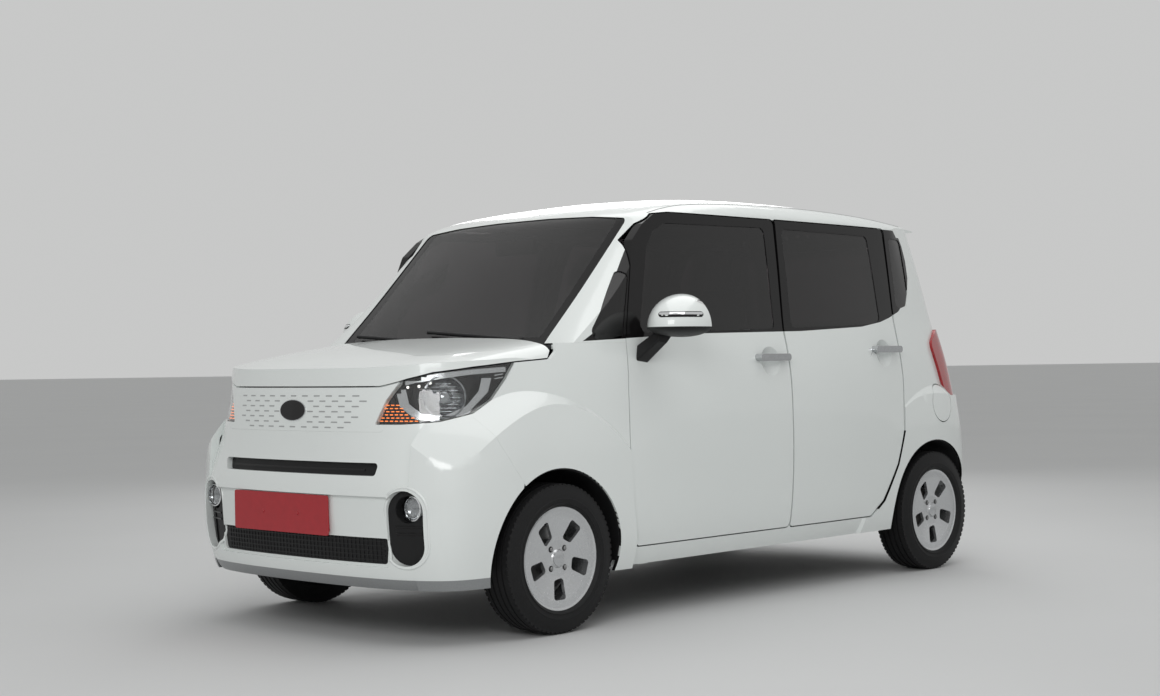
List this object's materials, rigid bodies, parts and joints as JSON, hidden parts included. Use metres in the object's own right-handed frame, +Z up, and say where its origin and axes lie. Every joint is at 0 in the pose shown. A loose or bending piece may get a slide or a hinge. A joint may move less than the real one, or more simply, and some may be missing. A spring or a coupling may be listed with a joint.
{
  "type": "kei car",
  "caption": "Small tall car with an upright nose, flared front arches, a hinged left rear door, a sliding right rear door and a full-width tailgate.",
  "frame": {"origin": "on the ground under the middle of the overall box", "axes": "+X towards the rear, +Y to the car's right, +Z up"},
  "size_m": [3.5974, 2.051, 1.701],
  "materials": {
    "white_paint": "gloss",
    "tinted_glass": "gloss",
    "lamp": "gloss",
    "red_lamp": "gloss",
    "red_plate": "satin",
    "black_plastic": "matte",
    "steel": "satin",
    "bright_steel": "satin",
    "cast_iron": "matte",
    "alloy": "satin",
    "wheel_alloy": "satin",
    "tyre": "matte",
    "fabric": "matte"
  },
  "bodies": {
    "body": {"front_lamps": "lamp", "front_panel": "white_paint", "front_fenders": "white_paint", "front_bumper": "white_paint", "bumper_grilles": "black_plastic", "number_plate": "red_plate", "sliding_door": "white_paint", "body_side_left": "white_paint", "body_side_right": "white_paint", "fixed_side_glass": "tinted_glass", "roof_panel": "white_paint", "windscreen": "tinted_glass", "rear_bumper": "white_paint", "tail_lamps": "red_lamp", "floor_pan": "steel", "bulkhead": "steel", "arch_liners": "black_plastic", "front_subframe": "steel", "engine_block": "alloy", "radiator": "alloy", "rear_axle": "steel", "fuel_tank": "black_plastic", "exhaust": "bright_steel", "front_seats": "fabric", "rear_bench": "fabric", "dashboard": "black_plastic", "wipers": "black_plastic"},
    "bonnet": {"bonnet": "white_paint"},
    "front_door_left": {"front_door_left": "white_paint", "front_door_left_glass": "tinted_glass", "mirror_left": "white_paint"},
    "front_door_right": {"front_door_right": "white_paint", "front_door_right_glass": "tinted_glass", "mirror_right": "white_paint"},
    "rear_door_left": {"rear_door_left": "white_paint", "rear_door_left_glass": "tinted_glass"},
    "tailgate": {"tailgate": "white_paint", "tailgate_glass": "tinted_glass"},
    "fuel_flap": {"fuel_flap": "white_paint"},
    "steering_wheel": {"steering_wheel": "black_plastic"},
    "knuckle_left": {"knuckle_left": "cast_iron"},
    "knuckle_right": {"knuckle_right": "cast_iron"},
    "wheel_front_left": {"rim_front_left": "wheel_alloy", "tyre_front_left": "tyre"},
    "wheel_front_right": {"rim_front_right": "wheel_alloy", "tyre_front_right": "tyre"},
    "wheel_rear_left": {"rim_rear_left": "wheel_alloy", "tyre_rear_left": "tyre"},
    "wheel_rear_right": {"rim_rear_right": "wheel_alloy", "tyre_rear_right": "tyre"}
  },
  "joints": [
    {"name": "spin_front_left", "type": "hinge", "parent": "knuckle_left", "child": "wheel_front_left", "pos_m": [-1.16, -0.704, 0.2768], "axis": [0, 1, 0], "continuous": true},
    {"name": "spin_front_right", "type": "hinge", "parent": "knuckle_right", "child": "wheel_front_right", "pos_m": [-1.16, 0.704, 0.2768], "axis": [0, 1, 0], "continuous": true},
    {"name": "spin_rear_left", "type": "hinge", "parent": "body", "child": "wheel_rear_left", "pos_m": [1.36, -0.704, 0.2768], "axis": [0, 1, 0], "continuous": true},
    {"name": "spin_rear_right", "type": "hinge", "parent": "body", "child": "wheel_rear_right", "pos_m": [1.36, 0.704, 0.2768], "axis": [0, 1, 0], "continuous": true},
    {"name": "steer_left", "type": "hinge", "parent": "body", "child": "knuckle_left", "pos_m": [-1.16, -0.64, 0.19], "axis": [0, 0.1539, 0.9881], "range_deg": [-33, 33]},
    {"name": "steer_right", "type": "hinge", "parent": "body", "child": "knuckle_right", "pos_m": [-1.16, 0.64, 0.19], "axis": [0, -0.1539, 0.9881], "range_deg": [-33, 33]},
    {"name": "steering_wheel_turn", "type": "hinge", "parent": "body", "child": "steering_wheel", "pos_m": [-0.418, -0.352, 0.958], "axis": [0.9063, 0, 0.4226], "range_deg": [-495, 495]},
    {"name": "front_door_left_hinge", "type": "hinge", "parent": "body", "child": "front_door_left", "pos_m": [-0.779, -0.7985, 0.65], "axis": [0, 0, 1], "range_deg": [-65, 0]},
    {"name": "front_door_right_hinge", "type": "hinge", "parent": "body", "child": "front_door_right", "pos_m": [-0.779, 0.7985, 0.65], "axis": [0, 0, 1], "range_deg": [0, 65]},
    {"name": "rear_door_left_hinge", "type": "hinge", "parent": "body", "child": "rear_door_left", "pos_m": [0.23, -0.7985, 0.65], "axis": [0, 0, 1], "range_deg": [-70, 0]},
    {"name": "tailgate_hinge", "type": "hinge", "parent": "body", "child": "tailgate", "pos_m": [1.434, 0, 1.67], "axis": [0, 1, 0], "range_deg": [-80, 0]},
    {"name": "bonnet_hinge", "type": "hinge", "parent": "body", "child": "bonnet", "pos_m": [-1.124, 0, 1.11], "axis": [0, 1, 0], "range_deg": [0, 50]},
    {"name": "fuel_flap_hinge", "type": "hinge", "parent": "body", "child": "fuel_flap", "pos_m": [1.35, -0.797, 0.778], "axis": [0, 0, 1], "range_deg": [-90, 0]}
  ],
  "couplings": [
    {"joint": "steer_right", "follows": "steer_left", "ratio": 1},
    {"joint": "steering_wheel_turn", "follows": "steer_left", "ratio": 15}
  ]
}
